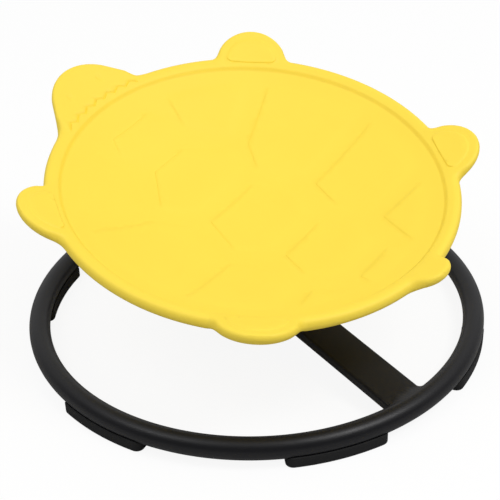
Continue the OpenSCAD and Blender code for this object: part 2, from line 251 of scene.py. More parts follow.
# Lines of the seat's mesh: search radii and points of its outline, depths of the round edge, and radii of the lines
# round its crown and under its bead
OUTLINE_SEARCH = (150.0, 260.0)
OUTLINE_TURNS = 7200
OUTLINE_STEP = 1.6
EDGE_DEPTHS = (0.22, 0.9, 2.0, 3.4, 5.0, 6.9)
CROWN_LINES = (165, 169, 172, 173.4, 174.2, 174.7, 175.2, 175.8, 176.4, 177, 177.6, 178.2, 179.8, 182)
CROWN_POINTS = 480
BEAD_LINES = (172, 174.5, 176.2, 176.8, 177.4, 178.6, 180.5, 183)
BEAD_POINTS = 240
# Dots between those lines: radius, step and gap on the disc, then step, margin and gap on the lobes
TOP_DOTS = ((163.0, 5.0, 1.8), (4.0, 8.0, 1.6))
LOW_DOTS = ((170.0, 8.0, 2.5), (6.0, 8.0, 2.0))
DOT_TURN = 17.0
LOBE_REACH = 240

# Meshes: halvings of a search, nearness at which points are one, and angles from which an edge is sharp
HALVINGS = 40
NEAR = 0.001
INSIDE_ONLY = 1
PLAN_NEAR = 1e-4
SHARP = 35
WELD_SHARP = 60
FAR_AWAY = 1e9

# Studio: the floor and its share of plain white, the room's light, the backdrop that reflections show, and the
# lamps with their places and powers
FLOOR_R = 9000.0
FLOOR_POINTS = 96
FLOOR_WHITE = 0.9
ROOM_LEVEL = 0.62
BACKDROP_RISE = 0.8
BACKDROP_FACING = (-0.1, 0.9)
BACKDROP_LEVELS = (0.1, 0.68)
LAMP_W = 800.0
LAMP_AIM = 100.0
LAMPS = (
    ("softbox_right", (1140.0, 560.0, 2040.0), 21),
    ("softbox_left", (-330.0, -1230.0, 2040.0), 8),
)
WHITE = (1, 1, 1, 1)

# The seat's own frame: down the lean, across it, and along the spindle
spin = next(j for j in frame["joints"] if j["name"] == "seat_spin")
up = Vector(spin["axis"]).normalized()
across = Vector((0, 0, 1)).cross(up).normalized()
downhill = across.cross(up)
SEAT = Matrix((downhill, across, up)).transposed().to_4x4()
SEAT.translation = Vector(spin["pos_m"])


# Finishes

def linear(code):
    """Linear colour with alpha of an sRGB hex value."""
    parts = [int(code[i:i + 2], 16) / 255 for i in (1, 3, 5)]
    return [c / 12.92 if c <= 0.04045 else ((c + 0.055) / 1.055) ** 2.4 for c in parts] + [1.0]


def per_metre(size):
    """Texture scale whose features are about that many millimetres wide."""
    return 1 / (size * MM)


def add(tree, kind, values=None, links=None, **settings):
    """Adds a node with its settings, socket values and links."""
    node = tree.nodes.new(kind)
    for key, value in settings.items():
        setattr(node, key, value)
    for key, value in (values or {}).items():
        node.inputs[key].default_value = value
    for key, (source, output) in (links or {}).items():
        tree.links.new(source.outputs[output], node.inputs[key])
    return node


def finish(name, colours, patch, roughness, grain, relief, **values):
    """A material with two close colours in patches, an uneven gloss, and a fine relief."""
    material = bpy.data.materials.new(name)
    material.use_nodes = True
    tree = material.node_tree
    shader = tree.nodes["Principled BSDF"]
    for key, value in values.items():
        shader.inputs[key.replace("_", " ")].default_value = value
    place = {"Vector": (add(tree, "ShaderNodeTexCoord"), "Object")}
    cloud = add(tree, "ShaderNodeTexNoise", {"Scale": per_metre(patch), "Detail": 3.0}, place)
    dark, light = (linear(code) for code in colours)
    tint = add(tree, "ShaderNodeMixRGB", {"Color1": dark, "Color2": light}, {"Fac": (cloud, "Fac")})
    sleek, dull = roughness
    gloss = add(tree, "ShaderNodeMapRange", {"To Min": sleek, "To Max": dull}, {"Value": (cloud, "Fac")})
    grit = add(tree, "ShaderNodeTexNoise", {"Scale": per_metre(grain), "Detail": 2.0}, place)
    bump = add(tree, "ShaderNodeBump", {"Strength": 1.0, "Distance": relief * MM}, {"Height": (grit, "Fac")})
    tree.links.new(tint.outputs["Color"], shader.inputs["Base Color"])
    tree.links.new(gloss.outputs["Result"], shader.inputs["Roughness"])
    tree.links.new(bump.outputs["Normal"], shader.inputs["Normal"])
    return material


# Moulded polypropylene in one bright yellow: a satin skin from a spark-eroded mould. The real grain of about 0.3 mm
# is drawn at 1.1 mm, so that it shows in the render.
YELLOW = finish("polypropylene_moulded_yellow", ("#FBDB3C", "#FCDF42"), patch=60, roughness=(0.56, 0.66),
                grain=1.1, relief=0.02, IOR=1.49, Specular_IOR_Level=0.65)
# Polyester powder coat on steel tube and bar: satin black with a faint orange peel of about 2 mm
BLACK = finish("powder_coat_satin_black", ("#0F0F13", "#131317"), patch=25, roughness=(0.36, 0.46),
               grain=2.2, relief=0.05, IOR=1.45, Specular_IOR_Level=0.45)
# Moulded natural rubber: matt black, with a faint dusty bloom in patches
RUBBER = finish("rubber_moulded_black", ("#151516", "#1C1C1D"), patch=9, roughness=(0.7, 0.85),
                grain=0.9, relief=0.06, IOR=1.52, Specular_IOR_Level=0.35)
# Nitrile lip seal: black, wiped clean and slightly oily
SEAL = finish("nitrile_rubber_seal", ("#161617", "#1C1C1D"), patch=4, roughness=(0.45, 0.6),
              grain=0.6, relief=0.02, IOR=1.52)
# Glass-filled nylon ball cage: tan, with flow marks from the gate
NYLON = finish("nylon_moulded_tan", ("#9C7E50", "#AE9060"), patch=5, roughness=(0.4, 0.55),
               grain=0.7, relief=0.02, IOR=1.53)
# Bright zinc on fasteners: pale blue-grey metal with a faint cloudy passivation
ZINC = finish("zinc_plated_steel", ("#BFC4CA", "#CFD2D4"), patch=4, roughness=(0.26, 0.4),
              grain=0.8, relief=0.01, Metallic=1.0)
# Turned spindle steel: grey metal with fine tool marks
TURNED = finish("steel_turned", ("#B4B5B6", "#C4C4C4"), patch=6, roughness=(0.24, 0.36),
                grain=0.5, relief=0.015, Metallic=1.0)
# Ground and honed bearing steel: bright, nearly a mirror, under a film of oil
GROUND = finish("bearing_steel_ground", ("#C9CACB", "#D3D3D2"), patch=8, roughness=(0.12, 0.2),
                grain=0.5, relief=0.004, Metallic=1.0)
# Brass threaded insert: yellow metal, slightly dull
BRASS = finish("brass_turned", ("#C9A552", "#D6B464"), patch=4, roughness=(0.28, 0.42),
               grain=0.6, relief=0.01, Metallic=1.0)

BEARINGS = ("upper_bearing", "lower_bearing")
NODE_FINISHES = [
    (YELLOW, ["seat_shell"]),
    (BLACK, ["base_ring", "crossbar", "bar_welds", "boss_plate", "spindle_boss", "boss_weld", "hub"]),
    (RUBBER, [f"foot_pad_{i + 1}" for i in range(len(PAD_ANGLES))]),
    (SEAL, ["dust_seal"]),
    (NYLON, [f"{bearing}_cage" for bearing in BEARINGS]),
    (ZINC, ["foot_screws", "seat_bolts", "bolt_washers", "spindle_washer", "lock_nut"]),
    (TURNED, ["spindle", "bearing_spacer"]),
    (GROUND, [f"{bearing}_{part}" for bearing in BEARINGS for part in ("inner", "outer", "balls", "shields")]),
    (BRASS, ["threaded_inserts"]),
]
for material, names in NODE_FINISHES:
    for name in names:
        for held in frame["nodes"][name].material_slots:
            held.material = material


# Lines, skins and solids

def smooth(t):
    t = np.clip(t, 0, 1)
    return t * t * (3 - 2 * t)


def soft_min(a, b, k):
    """The lower of two heights, with the corner between them rounded."""
    h = np.clip(k - np.abs(a - b), 0, None) / k
    return np.minimum(a, b) - h * h * k / 4


def full_turn(count):
    return np.linspace(0, 2 * math.pi, count, endpoint=False)


def heading(angle):
    return np.array([math.cos(math.radians(angle)), math.sin(math.radians(angle))])


def on_line(points, angle):
    """Places of plan points along a line from the middle at an angle, and beside it."""
    ahead = heading(angle)
    return points @ ahead, points @ np.array([-ahead[1], ahead[0]])


def from_line(along, side, angle):
    """Plan points from places along and beside a line from the middle."""
    ahead = heading(angle)
    return np.outer(along, ahead) + np.outer(side, np.array([-ahead[1], ahead[0]]))


def from_head(points):
    """Plan points from places across the seat and towards its head."""
    points = np.asarray(points, float)
    return from_line(points[:, 1], -points[:, 0], HEAD_ANGLE)


def circle(radius, count, middle=(0, 0), start=0.0):
    turn = np.radians(start) + np.arange(count) * 2 * math.pi / count
    return np.stack([middle[0] + radius * np.cos(turn), middle[1] + radius * np.sin(turn)], 1)


def resample(line, step, closed=False):
    """The same line with points a set distance apart."""
    line = np.asarray(line, float)
    if closed:
        line = np.vstack([line, line[:1]])
    length = np.concatenate([[0], np.cumsum(np.linalg.norm(np.diff(line, axis=0), axis=1))])
    count = max(2, int(round(length[-1] / step)) + 1)
    at = np.linspace(0, length[-1], count)
    out = np.stack([np.interp(at, length, line[:, i]) for i in range(2)], 1)
    return out[:-1] if closed else out


def contour(field, level, middle, turns, near, far):
    """Where a field that falls outwards from a middle point reaches a level, on each turn from that point."""
    ways = np.stack([np.cos(turns), np.sin(turns)], 1)
    low, high = np.full(len(turns), near), np.full(len(turns), far)
    for _ in range(HALVINGS):
        half = (low + high) / 2
        inside = field(np.asarray(middle) + half[:, None] * ways) > level
        low, high = np.where(inside, half, low), np.where(inside, high, half)
    return np.asarray(middle) + low[:, None] * ways


def distance(points, line):
    """Distance of plan points from a polyline."""
    best = np.full(len(points), FAR_AWAY)
    for a, b in zip(line[:-1], line[1:]):
        run = b - a
        t = np.clip((points - a) @ run / (run @ run), 0, 1)
        best = np.minimum(best, np.linalg.norm(points - a - t[:, None] * run, axis=1))
    return best


def clear_of(dots, lines, gap):
    """The dots that are at least a gap away from every point of the lines."""
    marks = np.vstack([line for line, _ in lines])
    keep = [np.min(np.sum((marks - dot) ** 2, axis=1)) > gap * gap for dot in dots]
    return dots[np.array(keep)]


def skin(outline, lines, dots):
    """Triangles over a plan that run along all its lines."""
    points, edges = [Vector(p) for p in outline], []
    for line, closed in lines:
        first, count = len(points), len(line)
        points += [Vector(p) for p in line]
        edges += [(first + i, first + i + 1) for i in range(count - 1)]
        if closed:
            edges.append((first + count - 1, first))
    points += [Vector(p) for p in dots]
    found = delaunay_2d_cdt(points, edges, [list(range(len(outline)))], INSIDE_ONLY, PLAN_NEAR)
    return np.array([tuple(p) for p in found[0]]), [tuple(f) for f in found[2]]


def solid(outline, upper, lower, upper_height, lower_height):
    """A closed solid between two skins over the same outline: points and faces."""
    n = len(outline)
    top, top_faces = skin(outline, *upper)
    low, low_faces = skin(outline, *lower)
    top = np.column_stack([top, upper_height(top)])
    low = np.column_stack([low, lower_height(low)])
    m = len(top)
    faces = top_faces + [tuple(m + i for i in reversed(f)) for f in low_faces]
    if np.max(np.abs(top[:n, 2] - low[:n, 2])) > NEAR:
        faces += [(i, m + i, m + (i + 1) % n, (i + 1) % n) for i in range(n)]
    return np.vstack([top, low]), faces


def sweep(rings, closed=False):
    """A skin through a row of rings of points, capped at its ends unless it closes on itself."""
    rings = np.asarray(rings)
    count, size = rings.shape[:2]
    faces = []
    for i in range(count if closed else count - 1):
        for j in range(size):
            k = (j + 1) % size
            n = (i + 1) % count
            faces.append((i * size + j, i * size + k, n * size + k, n * size + j))
    if not closed:
        faces += [tuple(range(size)), tuple((count - 1) * size + j for j in reversed(range(size)))]
    return rings.reshape(-1, 3), faces


def joined(parts):
    """Several solids as one list of points and faces."""
    points, faces = [], []
    for some_points, some_faces in parts:
        first = sum(len(p) for p in points)
        points.append(np.asarray(some_points))
        faces += [tuple(first + i for i in f) for f in some_faces]
    return np.vstack(points), faces


def placed(part, matrix):
    points, faces = part
    moved = [matrix @ Vector(p) for p in points]
    return np.array([tuple(p) for p in moved]), faces


def piece(name, points, faces, material, body, slot, replaced, frame_of=None, sharp=SHARP):
    """One finished piece: welded, with its faces turned outwards, that rides on a body."""
    mesh = bpy.data.meshes.new(name)
    mesh.from_pydata((np.asarray(points) * MM).tolist(), [], faces)
    if frame_of:
        mesh.transform(frame_of)
    shape = bmesh.new()
    shape.from_mesh(mesh)
    bmesh.ops.remove_doubles(shape, verts=shape.verts, dist=NEAR * MM)
    bmesh.ops.recalc_face_normals(shape, faces=shape.faces)
    shape.to_mesh(mesh)
    shape.free()
    mesh.polygons.foreach_set("use_smooth", [True] * len(mesh.polygons))
    mesh.set_sharp_from_angle(angle=math.radians(sharp))
    mesh.materials.append(material)
    made = bpy.data.objects.new(name, mesh)
    bpy.context.scene.collection.objects.link(made)
    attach(made, body)
    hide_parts(*replaced)


# The seat

def outside(points):
    """How far plan points are outside the seat's outline. Inside it, the value is negative."""
    gap = np.linalg.norm(points, axis=1) - EDGE_R
    for angle, (inner, inner_r, outer, outer_r), _ in LOBES:
        along, side = on_line(points, angle)
        along, side = along - inner, np.abs(side)
        length = outer - inner
        lean = (inner_r - outer_r) / length
        flank = math.sqrt(1 - lean * lean)
        place = flank * along - lean * side
        near = np.hypot(along, side) - inner_r
        far = np.hypot(along - length, side) - outer_r
        straight = flank * side + lean * along - inner_r
        lobe = np.where(place < 0, near, np.where(place > flank * length, far, straight))
        gap = soft_min(gap, lobe, LOBE_FILLET)
    return gap


def lobe_share(points):
    """How much of a plan point's height follows the slope of a lobe, from none to one."""
    share = np.zeros(len(points))
    for angle, _, half in LOBES:
        along, side = on_line(points, angle)
        inside = smooth((half + LOBE_BLEND / 3 - np.abs(side)) / LOBE_BLEND)
        share = np.maximum(share, np.where(along > 0, inside, 0))
    return share


def seat_middle(points):
    """Height of the middle of the seat's edge: level round the rim, rising along the lobes."""
    past = np.linalg.norm(points, axis=1) - RIM_R
    return lobe_share(points) * math.tan(math.radians(LOBE_SLOPE)) * (past + np.hypot(past, LOBE_BEND)) / 2


def round_edge(points):
    """Half of the seat's thickness, which a round edge takes down to nothing at the outline."""
    past = np.linalg.norm(points, axis=1) - RIM_R
    lobe = lobe_share(points) * smooth(past / LOBE_START)
    half = BEAD_R + (LOBE_T - BEAD_R) * lobe
    inside = np.clip(-outside(points) / (EDGE_W + (LOBE_EDGE_W - EDGE_W) * lobe), 0, 1)
    return half * np.sqrt(1 - (1 - inside) ** 2)


def ball_radius(edge, depth):
    """Radius of the ball that a bowl is cut from, by the bowl's edge and depth."""
    return (edge ** 2 + depth ** 2) / (2 * depth)


def bowl(r, ball, depth, edge):
    """Height of a bowl at a radius, level beyond its edge."""
    return ball - depth - np.sqrt(ball ** 2 - np.minimum(r, edge) ** 2)


def plate_outlines():
    """Plan outlines of the shell's plates: a middle row, and a row on both sides of it."""
    plates = [[*half, *((-x, y) for x, y in reversed(half))] for half in MIDDLE_PLATES]
    plates += [[(side * x, y) for x, y in plate] for side in (1, -1) for plate in SIDE_PLATES]
    offset, slant = PLATE_LINE
    return [from_head([(x + offset + slant * y, y) for x, y in plate]) for plate in plates]


def plate_walls(outline):
    """Start, outward direction and width of each wall of a plate: steep on its crisp side."""
    crisp = from_head([CRISP_SIDE])[0]
    walls = []
    for a, b in zip(outline, np.roll(outline, -1, axis=0)):
        out = np.array([b[1] - a[1], a[0] - b[0]]) / np.linalg.norm(b - a)
        out *= math.copysign(1, (a - outline.mean(axis=0)) @ out)
        walls.append((a, out, PLATE_WALLS[0] if out @ crisp > CRISP_LIMIT else PLATE_WALLS[1]))
    return walls


def plate_middle(outline):
    """A point well inside a plate and its fade."""
    middle = outline.mean(axis=0)
    return middle * min(1, (PLATE_FADE[0] - 1.5 * PLATE_FADE[1]) / np.linalg.norm(middle))


def plate_share(points, walls):
    """Share of its height that a plate has: none at its outline, and one inside its walls."""
    share = (PLATE_FADE[0] - np.linalg.norm(points, axis=1)) / PLATE_FADE[1]
    for start, out, width in walls:
        share = soft_min(share, (start - points) @ out / width, PLATE_CORNER)
    return share


def zigzag_line():
    turns = np.linspace(HEAD_ANGLE - ZIGZAG_SPAN, HEAD_ANGLE + ZIGZAG_SPAN, 2 * ZIGZAG_TEETH + 1)
    return np.array([ZIGZAG_R[i % 2] * heading(turn) for i, turn in enumerate(turns)])


def panel_share(points, angle):
    """Share of its height that a foot's panel has: a steep wall on its straight side and a soft one on its arc."""
    along, side = on_line(points, angle)
    past = along - PANEL_CHORD
    straight = soft_min(past, (past + PANEL_HALF - np.abs(side)) * math.sqrt(0.5), PANEL_CORNER)
    arc = PANEL_R - np.hypot(along - FOOT[2], side)
    return soft_min(arc / PANEL_WALLS[1], straight / PANEL_WALLS[0], PANEL_CORNER)


DISH_BALL = ball_radius(CREASE_R, DISH_DEPTH + CREASE_Z)
RIB_BALL = ball_radius(RIB_EDGE_R, RIB_DEPTH)
BOLT_PLACES = [BOLT_R * heading(BOLT_TURN + i * 360 / BOLT_COUNT) for i in range(BOLT_COUNT)]
RIB_ANGLES = [i * 360 / RIB_COUNT for i in range(RIB_COUNT)]
PLATES = [(outline, plate_walls(outline)) for outline in plate_outlines()]
ZIGZAG = zigzag_line()
EYES = from_head([(-EYE_AT[0], EYE_AT[1]), EYE_AT])


def seat_top(points):
    r = np.linalg.norm(points, axis=1)
    step = STEP_H * smooth((r - CREASE_R + STEP_LEAD) / STEP_W)
    crown = soft_min(bowl(r, DISH_BALL, DISH_DEPTH, RIM_R) + step, CROWN_H, CROWN_BLEND)
    height = seat_middle(points) + soft_min(crown, round_edge(points), EDGE_BLEND)
    for _, walls in PLATES:
        height += PLATE_H * smooth(plate_share(points, walls))
    height -= COLLAR_DEPTH * (1 - smooth(distance(points, ZIGZAG) / GROOVE_HALF_W))
    for angle in FOOT_ANGLES:
        height += PANEL_H * smooth(panel_share(points, angle))
    for eye in EYES:
        height -= EYE_DEPTH * (1 - smooth(np.linalg.norm(points - eye, axis=1) / EYE_R))
    return height


def seat_under(points):
    r = np.linalg.norm(points, axis=1)
    dish = bowl(r, DISH_BALL, DISH_DEPTH, RIM_R) - SHELL_T - SHELL_SWELL * r / RIM_R
    bead_drop = np.sqrt(np.clip(BEAD_R ** 2 - (r - RIM_R) ** 2, 0, None))
    bead = np.where(np.abs(r - RIM_R) < BEAD_R, -bead_drop, BEAD_R)
    inner = soft_min(dish, bead, BEAD_BLEND)
    height = seat_middle(points) + np.where(r < RIM_R, inner, -round_edge(points))
    rib = bowl(r, RIB_BALL, RIB_DEPTH, RIB_EDGE_R)
    off = np.min([np.abs(r - ring) for ring in RIB_RINGS], axis=0)
    for angle in RIB_ANGLES:
        along, side = on_line(points, angle)
        off = np.minimum(off, np.where(along > RIB_RINGS[0], np.abs(side), FAR_AWAY))
    wall = np.clip((RIB_HALF_T + RIB_DRAFT - off) / RIB_DRAFT, 0, 1)
    height = np.where((r < RIB_EDGE_R) & (rib < height), height + wall * (rib - height), height)
    for place in BOLT_PLACES:
        away = np.linalg.norm(points - place, axis=1)
        wall = np.clip((INSERT_BOSS_R + RIB_DRAFT - away) / RIB_DRAFT, 0, 1)
        height += wall * (FLANGE_Z - height)
    return height


def seat_line(depth, turns):
    """The line at a depth inside the seat's outline."""
    return contour(lambda p: -outside(p), depth, (0, 0), turns, *OUTLINE_SEARCH)


def disc_dots(radius, step):
    """Evenly spread dots over a disc, ring by ring."""
    rings = [np.zeros((1, 2))]
    for i, r in enumerate(np.arange(step, radius, step)):
        rings.append(circle(r, max(6, int(2 * math.pi * r / step)), start=DOT_TURN * i))
    return np.vstack(rings)


def lobe_dots(step, margin):
    """Evenly spread dots over the head, feet and tail."""
    places = np.arange(-LOBE_REACH, LOBE_REACH, step)
    grid = np.array([(x + (i % 2) * step / 2, y) for i, y in enumerate(places) for x in places])
    return grid[(np.linalg.norm(grid, axis=1) > RIM_R) & (outside(grid) < -margin)]


def seat_dots(lines, disc, lobes):
    """Dots that fill the seat's plan between its lines."""
    *disc_spread, disc_gap = disc
    *lobe_spread, lobe_gap = lobes
    on_disc = clear_of(disc_dots(*disc_spread), lines, disc_gap)
    return np.vstack([on_disc, clear_of(lobe_dots(*lobe_spread), lines, lobe_gap)])


def mark_lines():
    """Lines of the marks moulded into the seat: walls of the plates, collar, panels and eyes."""
    lines = []
    turns = full_turn(PLATE_POINTS)
    for outline, walls in PLATES:
        middle = plate_middle(outline)
        for level in PLATE_LEVELS:
            wall = contour(lambda p: plate_share(p, walls), level, middle, turns, 0, PLATE_REACH)
            lines.append((wall, True))
    for k in (-2, -1, 0, 1, 2):
        lines.append((resample(ZIGZAG, ZIGZAG_STEP) + k * GROOVE_HALF_W / 2 * heading(HEAD_ANGLE), False))
    turns = full_turn(PANEL_POINTS)
    for angle in FOOT_ANGLES:
        middle = PANEL_MIDDLE * heading(angle)
        for level in PANEL_LEVELS:
            wall = contour(lambda p: panel_share(p, angle), level, middle, turns, 0, PANEL_REACH)
            lines.append((wall, True))
    for eye in EYES:
        lines += [(circle(level * EYE_R, EYE_POINTS, eye), True) for level in EYE_LEVELS]
    return lines


def rib_lines():
    """Lines of the walls under the seat: both sides of the ribs, and the insert bosses."""
    offsets = [side * (RIB_HALF_T + draft) for side in (-1, 1) for draft in (0, RIB_DRAFT)]
    lines = [(circle(ring + k, int(ring * 2)), True) for ring in RIB_RINGS for k in offsets]
    places = np.linspace(RIB_RINGS[0], RIB_END_R, RIB_POINTS)
    for angle in RIB_ANGLES:
        lines += [(from_line(places, np.full(RIB_POINTS, k), angle), False) for k in offsets]
    for place in BOLT_PLACES:
        lines += [(circle(INSERT_BOSS_R + draft, INSERT_BOSS_POINTS, place), True) for draft in (0, RIB_DRAFT)]
    return lines


def make_seat():
    outline = resample(seat_line(0, full_turn(OUTLINE_TURNS)), OUTLINE_STEP, closed=True)
    turns = np.arctan2(outline[:, 1], outline[:, 0])
    edge = [(seat_line(depth, turns), True) for depth in EDGE_DEPTHS]
    top = edge + [(circle(r, CROWN_POINTS), True) for r in CROWN_LINES] + mark_lines()
    low = edge + [(circle(r, BEAD_POINTS), True) for r in BEAD_LINES] + rib_lines()
    upper, lower = (top, seat_dots(top, *TOP_DOTS)), (low, seat_dots(low, *LOW_DOTS))
    points, faces = solid(outline, upper, lower, seat_top, seat_under)
    piece("seat_moulding", points, faces, YELLOW, "seat", "seat_plastic", ["seat_shell"], SEAT)


# The base

def make_ring():
    wall = circle(TUBE_R, TUBE_SIDES)
    rings = [[((RING_R + x) * math.cos(t), (RING_R + x) * math.sin(t), RING_H + z) for x, z in wall]
             for t in full_turn(RING_STEPS)]
    piece("ring_tube", *sweep(rings, closed=True), BLACK, "base", "frame_steel", ["base_ring"])


def bar_top(x):
    """Height of the crossbar's top face, with its bends rounded."""
    past = np.abs(x) - BAR_FLAT / 2
    return RING_H + BAR_RISE - BAR_SLOPE * (past + np.hypot(past, BAR_BEND)) / 2


def bar_section():
    """Section of the crossbar with rounded corners: places beside and below the top face's middle."""
    quarter = np.linspace(0, math.pi / 2, BAR_CORNER_POINTS)
    out = []
    for x, z, turn in ((1, 0, 0), (-1, 0, 1), (-1, -1, 2), (1, -1, 3)):
        middle = np.array([x * (BAR_W / 2 - BAR_ROUND), z * (BAR_T - 2 * BAR_ROUND) - BAR_ROUND])
        ways = [np.array([math.cos(q), math.sin(q)]) for q in quarter + turn * math.pi / 2]
        out += [middle + BAR_ROUND * way for way in ways]
    return np.array(out)


def make_bar():
    start, count = BAR_END_ROWS
    middle, middle_count = BAR_MIDDLE_ROWS
    places = np.concatenate([
        np.linspace(-BAR_END, -start, count),
        np.linspace(-middle, middle, middle_count),
        np.linspace(start, BAR_END, count),
    ])
    section = bar_section()
    rings = [[(x, y, bar_top(x) + z) for y, z in section] for x in places]
    piece("crossbar_flat", *sweep(rings), BLACK, "base", "frame_steel", ["crossbar"])


def unit(vectors):
    return vectors / np.linalg.norm(vectors, axis=1)[:, None]


def ripple(run):
    """Height of the ripples that the weld pool leaves, along a weld's run."""
    return WELD_RIPPLE * np.abs(np.sin(math.pi * run / WELD_PITCH))


def make_bar_welds():
    """Fillets round the bar's ends, each as a ball that rolls on the bar and the tube would leave it."""
    section = resample(bar_section(), WELD_STEP, closed=True)
    count = len(section)
    core = np.clip(section, [BAR_ROUND - BAR_W / 2, BAR_ROUND - BAR_T], [BAR_W / 2 - BAR_ROUND, -BAR_ROUND])
    facing = unit(section - core)
    ball = WELD_BESIDE[0] + (WELD_BESIDE[1] - WELD_BESIDE[0]) * smooth(section[:, 0] / BAR_W + 0.5)
    on_top = smooth(facing[:, 1]) * smooth((BAR_W / 2 - np.abs(section[:, 0])) / WELD_FADE)
    ball += (WELD_ABOVE - ball) * on_top + (WELD_UNDER - ball) * smooth(-facing[:, 1])
    normal = unit(np.column_stack([BAR_SLOPE * facing[:, 1], facing]))

    def ball_middle(x):
        on_bar = np.column_stack([x, section[:, 0], bar_top(x) + section[:, 1]])
        return on_bar + ball[:, None] * normal

    low, high = np.full(count, WELD_SEARCH_FROM), np.full(count, RING_R)
    for _ in range(HALVINGS):
        half = (low + high) / 2
        x, y, z = ball_middle(half).T
        apart = np.hypot(np.hypot(x, y) - RING_R, z - RING_H) > TUBE_R + ball
        low, high = np.where(apart, half, low), np.where(apart, high, half)
    middle = ball_middle(low)
    nearest = middle[:, :2] * (RING_R / np.hypot(middle[:, 0], middle[:, 1]))[:, None]
    to_tube = unit(np.column_stack([nearest, np.full(count, RING_H)]) - middle)
    angle = np.arccos(np.sum(-normal * to_tube, axis=1))[:, None]
    rows = []
    for t in np.linspace(0, 1, WELD_ROWS):
        way = (np.sin(t * angle) * to_tube - np.sin((1 - t) * angle) * normal) / np.sin(angle)
        swell = math.sin(math.pi * t) * ripple(WELD_STEP * np.arange(count))
        rows.append(middle + (ball - swell + WELD_TOE * (t in (0, 1)))[:, None] * way)
    root = np.full(count, RING_R - TUBE_R + WELD_ROOT_DEPTH)
    root_w, root_t = WELD_ROOT_SHARES
    root_height = bar_top(root) - BAR_T / 2 + root_t * (section[:, 1] + BAR_T / 2)
    rows.append(np.column_stack([root, root_w * section[:, 0], root_height]))
    fillet = np.stack(rows, axis=1)
    ends = [sweep(fillet * np.array([side, 1, 1]), closed=True) for side in (-1, 1)]
    piece("bar_weld_beads", *joined(ends), BLACK, "base", "frame_steel", ["bar_welds"], sharp=WELD_SHARP)


def make_boss_weld():
    """A rippled cord round the foot of the leaning boss, where it meets its plate."""
    middle = SEAT.translation / MM
    foot_height = RING_H + BAR_RISE + BOSS_PLATE_T
    path = []
    for x, y in circle(BOSS_R, BOSS_WELD_STEPS):
        start = middle + (SEAT.to_3x3() @ Vector((x, y, 0)))
        path.append(start - (start.z - foot_height) / up.z * up)
    path = np.asarray(path)
    ahead = unit(np.roll(path, -1, axis=0) - np.roll(path, 1, axis=0))
    out = path - path.mean(axis=0)
    out = unit(out - np.sum(out * ahead, axis=1)[:, None] * ahead)
    third = np.cross(ahead, out)
    run = np.concatenate([[0], np.cumsum(np.linalg.norm(np.diff(path, axis=0), axis=1))])
    swell = (BOSS_WELD_R + ripple(run))[:, None]
    rows = [path + swell * (math.cos(t) * out + math.sin(t) * third) for t in full_turn(BOSS_WELD_SIDES)]
    bead = sweep(np.stack(rows, axis=1), closed=True)
    piece("boss_weld_bead", *bead, BLACK, "base", "frame_steel", ["boss_weld"], sharp=WELD_SHARP)


def pad_inside(points):
    """How far places along and beside a pad's middle line are inside its outline."""
    past = np.abs(points) - np.array([PAD_HALF_LEN - PAD_CORNER, PAD_HALF_W - PAD_CORNER])
    return PAD_CORNER - np.linalg.norm(np.clip(past, 0, None), axis=1) - np.minimum(past.max(axis=1), 0)


def pad_edge(points):
    """Height that a pad's round edge takes off its top or sole."""
    inside = np.clip(pad_inside(points) / PAD_ROUND, 0, 1)
    return PAD_ROUND * (1 - np.sqrt(1 - (1 - inside) ** 2))


def pad_top(points):
    gap = PAD_SEAT_GAP + PAD_LIP_GAP * smooth((np.abs(points[:, 1]) - PAD_LIP_START) / PAD_LIP_W)
    groove = RING_H - np.sqrt(np.clip((TUBE_R + gap) ** 2 - points[:, 1] ** 2, 0, None))
    return np.minimum(PAD_H - pad_edge(points), groove)


def pad_sole(points):
    height = pad_edge(points)
    for side in (-1, 1):
        away = np.hypot(points[:, 0] - side * PAD_SCREW_GAP / 2, points[:, 1])
        height = np.where(away < SCREW_BORE_R + SCREW_BORE_WALL / 3, SCREW_RECESS, height)
    return height


def pad_line(depth, turns):
    """The line at a depth inside a pad's outline."""
    return contour(pad_inside, depth, (0, 0), turns, 0, PAD_REACH)


def groove_lines():
    """Lines along a pad's groove, from one lip to the other."""
    lip = math.sqrt((TUBE_R + PAD_SEAT_GAP + PAD_LIP_GAP) ** 2 - (RING_H - PAD_H) ** 2)
    rows = (*PAD_GROOVE_ROWS, lip)
    lines = []
    for row in (*(-row for row in reversed(rows[1:])), *rows):
        corner = max(abs(row) - PAD_HALF_W + PAD_CORNER, 0)
        reach = PAD_HALF_LEN - PAD_CORNER + math.sqrt(PAD_CORNER ** 2 - corner ** 2) - PAD_ROUND - PAD_ROW_GAP
        along = np.linspace(-reach, reach, PAD_ROW_POINTS)
        lines.append((np.stack([along, np.full(PAD_ROW_POINTS, row)], 1), False))
    return lines


def pad_solid():
    """A straight pad, along and beside its middle line."""
    outline = resample(pad_line(0, full_turn(PAD_TURNS)), PAD_STEP, closed=True)
    turns = np.arctan2(outline[:, 1], outline[:, 0])
    edge = [(pad_line(depth, turns), True) for depth in PAD_EDGE_DEPTHS]
    low = list(edge)
    for side in (-1, 1):
        middle = (side * PAD_SCREW_GAP / 2, 0)
        for wall in (0, SCREW_BORE_WALL):
            low.append((circle(SCREW_BORE_R + wall, SCREW_BORE_POINTS, middle), True))
    grid = np.array([(x, y) for x in np.arange(*PAD_SOLE_PLACES) for y in PAD_SOLE_ROWS])
    dots = clear_of(grid[pad_inside(grid) > PAD_SOLE_MARGIN], low, PAD_SOLE_GAP)
    return solid(outline, (edge + groove_lines(), []), (low, dots), pad_top, pad_sole)


def make_pads():
    """Six pads, each the straight one bent along the ring."""
    points, faces = pad_solid()
    r = RING_R + points[:, 1]
    for number, angle in enumerate(PAD_ANGLES, 1):
        turn = math.radians(angle) + points[:, 0] / RING_R
        bent = np.stack([r * np.cos(turn), r * np.sin(turn), points[:, 2]], 1)
        name = f"foot_pad_{number}"
        piece(name + "_rubber", bent, faces, RUBBER, "base", "pad_rubber", [name])


